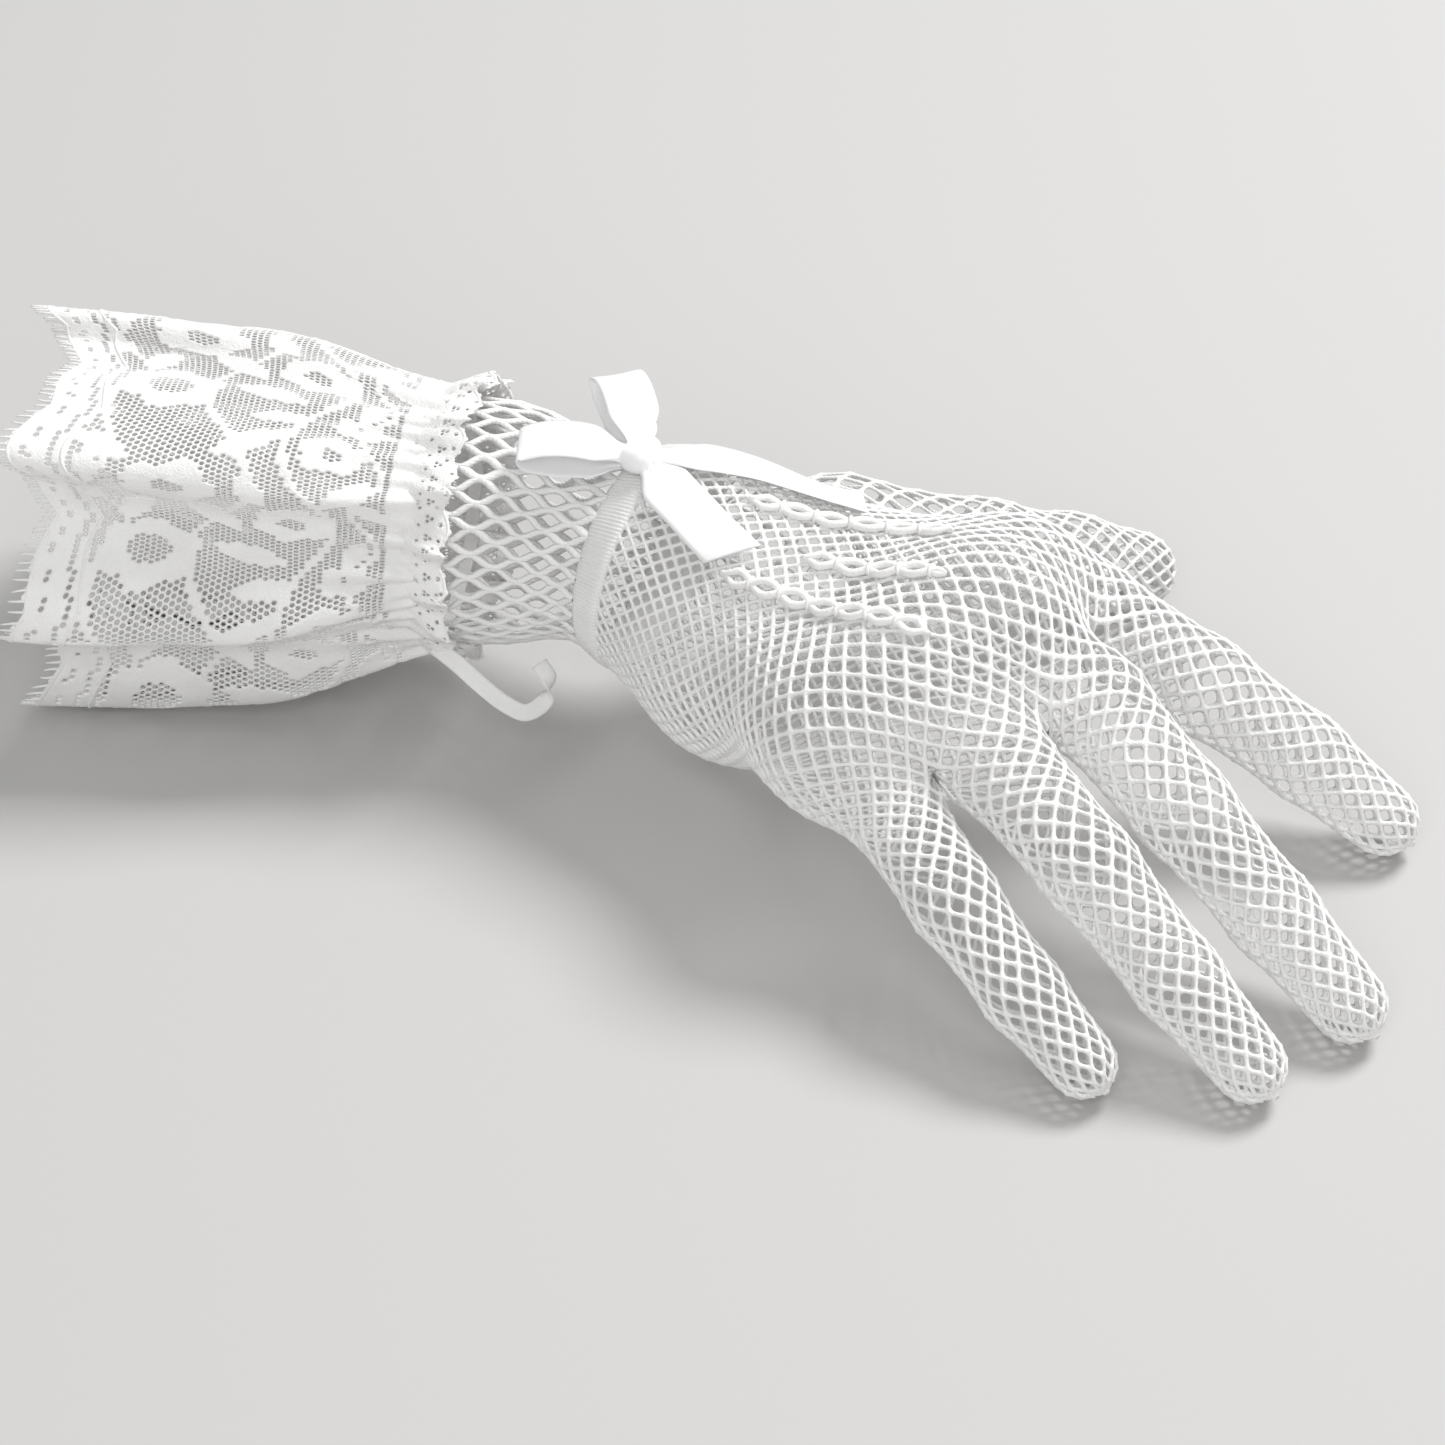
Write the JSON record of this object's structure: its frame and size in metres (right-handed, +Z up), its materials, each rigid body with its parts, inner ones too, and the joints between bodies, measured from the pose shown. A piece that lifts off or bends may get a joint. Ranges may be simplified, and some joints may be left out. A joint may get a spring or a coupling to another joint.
{
  "type": "lace wedding glove",
  "caption": "Right-hand bridal glove: knitted fishnet hand and finger stalls, ribbed wrist band, wide-mesh cuff, gathered lace ruffle and a satin ribbon bow.",
  "frame": {"origin": "centre of the whole glove's bounding box, on the plane it rests on", "axes": "+X from the lace ruffle to the fingertips, +Y towards the thumb, +Z up out of the back of the hand"},
  "size_m": [0.2836, 0.1588, 0.0715],
  "materials": {
    "cotton_net": "matt mercerised yarn",
    "lace": "matt embroidered tulle",
    "satin": "soft satin sheen",
    "elastic": "matt rib knit"
  },
  "bodies": {
    "hand": {"hand_back_net": "cotton_net", "hand_palm_net": "cotton_net", "thumb_base_net": "cotton_net", "wrist_band": "elastic", "wide_mesh_cuff": "cotton_net", "seam_tape": "elastic", "lace_ruffle": "lace", "header_frill": "lace", "seam_tape_end": "elastic", "point_rib_little_side": "cotton_net", "point_rib_middle": "cotton_net", "point_rib_index_side": "cotton_net", "bow_knot": "satin", "bow_near_loop": "satin", "bow_far_loop": "satin", "bow_near_tail": "satin", "bow_far_tail": "satin"},
    "index_lower": {"index_finger_lower_net": "cotton_net"},
    "index_middle": {"index_finger_middle_net": "cotton_net"},
    "index_tip": {"index_fingertip_net": "cotton_net", "index_tip_gather": "cotton_net"},
    "middle_lower": {"middle_finger_lower_net": "cotton_net"},
    "middle_middle": {"middle_finger_middle_net": "cotton_net"},
    "middle_tip": {"middle_fingertip_net": "cotton_net", "middle_tip_gather": "cotton_net"},
    "ring_lower": {"ring_finger_lower_net": "cotton_net"},
    "ring_middle": {"ring_finger_middle_net": "cotton_net"},
    "ring_tip": {"ring_fingertip_net": "cotton_net", "ring_tip_gather": "cotton_net"},
    "little_lower": {"little_finger_lower_net": "cotton_net"},
    "little_middle": {"little_finger_middle_net": "cotton_net"},
    "little_tip": {"little_fingertip_net": "cotton_net", "little_tip_gather": "cotton_net"},
    "thumb_lower": {"thumb_lower_net": "cotton_net"},
    "thumb_tip": {"thumb_tip_net": "cotton_net", "thumb_tip_gather": "cotton_net"}
  },
  "joints": [
    {"name": "index_knuckle_fold", "type": "hinge", "parent": "hand", "child": "index_lower", "pos_m": [0.06204, 0.01428, 0.038], "axis": [-0.1626, 0.9867, 0], "range_deg": [-10, 45]},
    {"name": "index_middle_fold", "type": "hinge", "parent": "index_lower", "child": "index_middle", "pos_m": [0.08389, 0.01788, 0.029], "axis": [-0.1974, 0.9803, 0], "range_deg": [-10, 45]},
    {"name": "index_tip_fold", "type": "hinge", "parent": "index_middle", "child": "index_tip", "pos_m": [0.10249, 0.02238, 0.017], "axis": [-0.2097, 0.9778, 0], "range_deg": [-6, 27]},
    {"name": "middle_knuckle_fold", "type": "hinge", "parent": "hand", "child": "middle_lower", "pos_m": [0.06889, -0.00752, 0.0365], "axis": [0.3415, 0.9399, 0], "range_deg": [-10, 45]},
    {"name": "middle_middle_fold", "type": "hinge", "parent": "middle_lower", "child": "middle_middle", "pos_m": [0.09669, -0.01762, 0.03], "axis": [0.2697, 0.9629, 0], "range_deg": [-10, 45]},
    {"name": "middle_tip_fold", "type": "hinge", "parent": "middle_middle", "child": "middle_tip", "pos_m": [0.11689, -0.02142, 0.017], "axis": [0.2095, 0.9778, 0], "range_deg": [-6, 27]},
    {"name": "ring_knuckle_fold", "type": "hinge", "parent": "hand", "child": "ring_lower", "pos_m": [0.06359, -0.02642, 0.03425], "axis": [0.4333, 0.9013, 0], "range_deg": [-10, 45]},
    {"name": "ring_middle_fold", "type": "hinge", "parent": "ring_lower", "child": "ring_middle", "pos_m": [0.08959, -0.03892, 0.028], "axis": [0.3586, 0.9335, 0], "range_deg": [-10, 45]},
    {"name": "ring_tip_fold", "type": "hinge", "parent": "ring_middle", "child": "ring_tip", "pos_m": [0.10979, -0.04462, 0.016], "axis": [0.2564, 0.9666, 0], "range_deg": [-6, 27]},
    {"name": "little_knuckle_fold", "type": "hinge", "parent": "hand", "child": "little_lower", "pos_m": [0.05224, -0.04122, 0.03075], "axis": [0.5328, 0.8463, 0], "range_deg": [-10, 45]},
    {"name": "little_middle_fold", "type": "hinge", "parent": "little_lower", "child": "little_middle", "pos_m": [0.07019, -0.05252, 0.023], "axis": [0.4438, 0.8961, 0], "range_deg": [-10, 45]},
    {"name": "little_tip_fold", "type": "hinge", "parent": "little_middle", "child": "little_tip", "pos_m": [0.08729, -0.05882, 0.014], "axis": [0.2912, 0.9566, 0], "range_deg": [-6, 27]},
    {"name": "thumb_fold", "type": "hinge", "parent": "hand", "child": "thumb_lower", "pos_m": [0.01615, 0.0355, 0.02415], "axis": [-0.7036, 0.4883, -0.5161], "range_deg": [-10, 30]},
    {"name": "thumb_tip_fold", "type": "hinge", "parent": "thumb_lower", "child": "thumb_tip", "pos_m": [0.03619, 0.05898, 0.014], "axis": [-0.7846, 0.3432, -0.5163], "range_deg": [-10, 30]}
  ],
  "couplings": [
    {"joint": "index_middle_fold", "follows": "index_knuckle_fold", "ratio": 1},
    {"joint": "index_tip_fold", "follows": "index_knuckle_fold", "ratio": 0.6},
    {"joint": "middle_middle_fold", "follows": "middle_knuckle_fold", "ratio": 1},
    {"joint": "middle_tip_fold", "follows": "middle_knuckle_fold", "ratio": 0.6},
    {"joint": "ring_middle_fold", "follows": "ring_knuckle_fold", "ratio": 1},
    {"joint": "ring_tip_fold", "follows": "ring_knuckle_fold", "ratio": 0.6},
    {"joint": "little_middle_fold", "follows": "little_knuckle_fold", "ratio": 1},
    {"joint": "little_tip_fold", "follows": "little_knuckle_fold", "ratio": 0.6},
    {"joint": "thumb_tip_fold", "follows": "thumb_fold", "ratio": 1}
  ]
}
